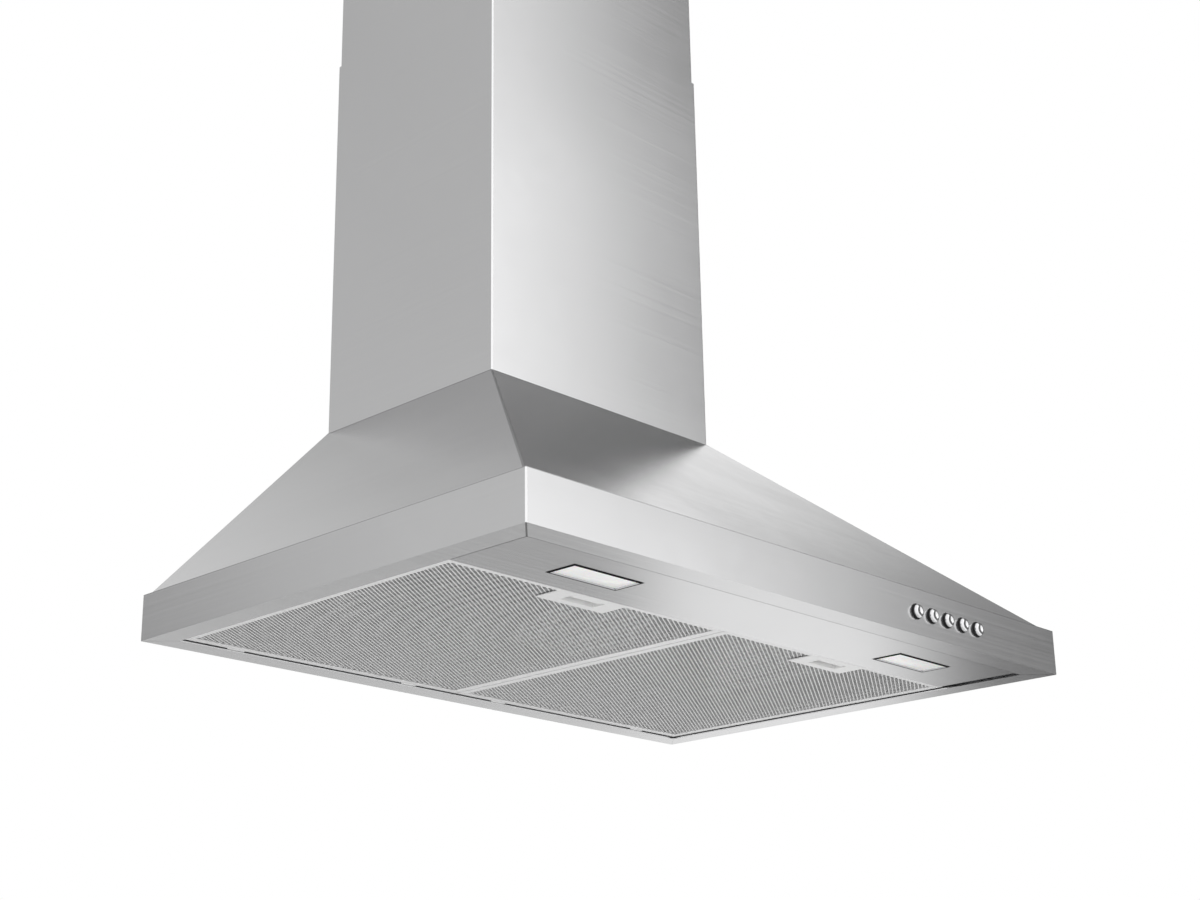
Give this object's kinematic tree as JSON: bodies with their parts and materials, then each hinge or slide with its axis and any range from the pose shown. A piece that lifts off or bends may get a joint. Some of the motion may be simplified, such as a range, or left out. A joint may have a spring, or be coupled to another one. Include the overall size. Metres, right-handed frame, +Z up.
{
  "type": "wall mount range hood",
  "caption": "Chimney-style wall hood: pyramid canopy with mesh filters, lamps and push buttons, blower inside, telescoping duct cover above.",
  "frame": {"origin": "centre of the four wall holes, on the wall face", "axes": "+Z up, +Y into the wall, +X to the right seen from the room"},
  "size_m": [0.75, 0.525, 0.9331],
  "materials": {
    "stainless": "brushed, horizontal grain",
    "zinc_sheet": "zinc coated sheet",
    "bright_steel": "bright zinc plate",
    "chrome": "polished",
    "aluminium": "mill finish",
    "handle_metal": "satin",
    "lens": "frosted",
    "black_plastic": "fine grain",
    "white_plastic": "smooth",
    "motor_paint": "satin black",
    "lead_sheath": "matt sheath"
  },
  "bodies": {
    "canopy": {"canopy_shell": "stainless", "rear_panel": "zinc_sheet", "hanger_doublers": "zinc_sheet", "light_panel": "stainless", "panel_screws": "bright_steel", "light_frame_left": "chrome", "light_frame_right": "chrome", "light_lens_left": "lens", "light_lens_right": "lens", "light_module_left": "aluminium", "light_module_right": "aluminium", "button_guides": "black_plastic", "switch_body": "black_plastic", "switch_bracket": "zinc_sheet", "blower_wrap": "zinc_sheet", "blower_side_left": "zinc_sheet", "blower_side_right": "zinc_sheet", "motor_body": "motor_paint", "motor_bracket": "zinc_sheet", "motor_bracket_screws": "bright_steel", "blower_deck": "zinc_sheet", "outlet_collar": "zinc_sheet", "collar_flange": "zinc_sheet", "deck_screws": "bright_steel", "damper_rod": "bright_steel", "terminal_box": "black_plastic", "terminal_box_cover": "black_plastic", "terminal_block": "white_plastic", "cable_gland": "black_plastic", "run_capacitor": "aluminium", "capacitor_clip": "zinc_sheet", "lamp_driver": "white_plastic", "motor_lead": "lead_sheath", "switch_lead": "lead_sheath", "lamp_lead": "lead_sheath", "lower_chimney": "stainless"},
    "button_off": {"button_off": "chrome"},
    "button_low": {"button_low": "chrome"},
    "button_medium": {"button_medium": "chrome"},
    "button_high": {"button_high": "chrome"},
    "button_light": {"button_light": "chrome"},
    "filter_left": {"filter_left_frame": "aluminium", "filter_left_net": "aluminium", "filter_left_pleat": "aluminium", "filter_left_handle": "handle_metal"},
    "latch_left": {"filter_left_latch": "handle_metal"},
    "filter_right": {"filter_right_frame": "aluminium", "filter_right_net": "aluminium", "filter_right_pleat": "aluminium", "filter_right_handle": "handle_metal"},
    "latch_right": {"filter_right_latch": "handle_metal"},
    "fan": {"fan_wheel": "aluminium", "fan_blades": "aluminium", "motor_shaft": "bright_steel", "wheel_nut": "bright_steel"},
    "flap_front": {"damper_flap_front": "zinc_sheet"},
    "flap_rear": {"damper_flap_rear": "zinc_sheet"},
    "upper_chimney": {"upper_chimney": "stainless", "chimney_bracket": "zinc_sheet", "chimney_screws": "bright_steel"}
  },
  "joints": [
    {"name": "press_off", "type": "slide", "parent": "canopy", "child": "button_off", "axis": [0, 1, 0], "range_m": [0, 0.003], "stiffness_N_per_m": 300, "springref_m": -0.002},
    {"name": "press_low", "type": "slide", "parent": "canopy", "child": "button_low", "axis": [0, 1, 0], "range_m": [0, 0.003], "stiffness_N_per_m": 300, "springref_m": -0.002},
    {"name": "press_medium", "type": "slide", "parent": "canopy", "child": "button_medium", "axis": [0, 1, 0], "range_m": [0, 0.003], "stiffness_N_per_m": 300, "springref_m": -0.002},
    {"name": "press_high", "type": "slide", "parent": "canopy", "child": "button_high", "axis": [0, 1, 0], "range_m": [0, 0.003], "stiffness_N_per_m": 300, "springref_m": -0.002},
    {"name": "press_light", "type": "slide", "parent": "canopy", "child": "button_light", "axis": [0, 1, 0], "range_m": [0, 0.003], "stiffness_N_per_m": 300, "springref_m": -0.002},
    {"name": "filter_left_swing", "type": "hinge", "parent": "canopy", "child": "filter_left", "pos_m": [-0.1741, -0.0245, -0.1472], "axis": [1, 0, 0], "range_deg": [0, 35]},
    {"name": "latch_left_slide", "type": "slide", "parent": "filter_left", "child": "latch_left", "axis": [0, 1, 0], "range_m": [0, 0.005], "stiffness_N_per_m": 300, "springref_m": -0.003},
    {"name": "filter_right_swing", "type": "hinge", "parent": "canopy", "child": "filter_right", "pos_m": [0.1741, -0.0245, -0.1472], "axis": [1, 0, 0], "range_deg": [0, 35]},
    {"name": "latch_right_slide", "type": "slide", "parent": "filter_right", "child": "latch_right", "axis": [0, 1, 0], "range_m": [0, 0.005], "stiffness_N_per_m": 300, "springref_m": -0.003},
    {"name": "fan_spin", "type": "hinge", "parent": "canopy", "child": "fan", "pos_m": [0, -0.1875, -0.0075], "axis": [1, 0, 0], "continuous": true},
    {"name": "flap_front_swing", "type": "hinge", "parent": "canopy", "child": "flap_front", "pos_m": [0, -0.126, 0.1295], "axis": [-1, 0, 0], "range_deg": [0, 75]},
    {"name": "flap_rear_swing", "type": "hinge", "parent": "canopy", "child": "flap_rear", "pos_m": [0, -0.126, 0.1295], "axis": [1, 0, 0], "range_deg": [0, 75]},
    {"name": "chimney_slide", "type": "slide", "parent": "canopy", "child": "upper_chimney", "axis": [0, 0, 1], "range_m": [-0.18, 0.12]}
  ]
}
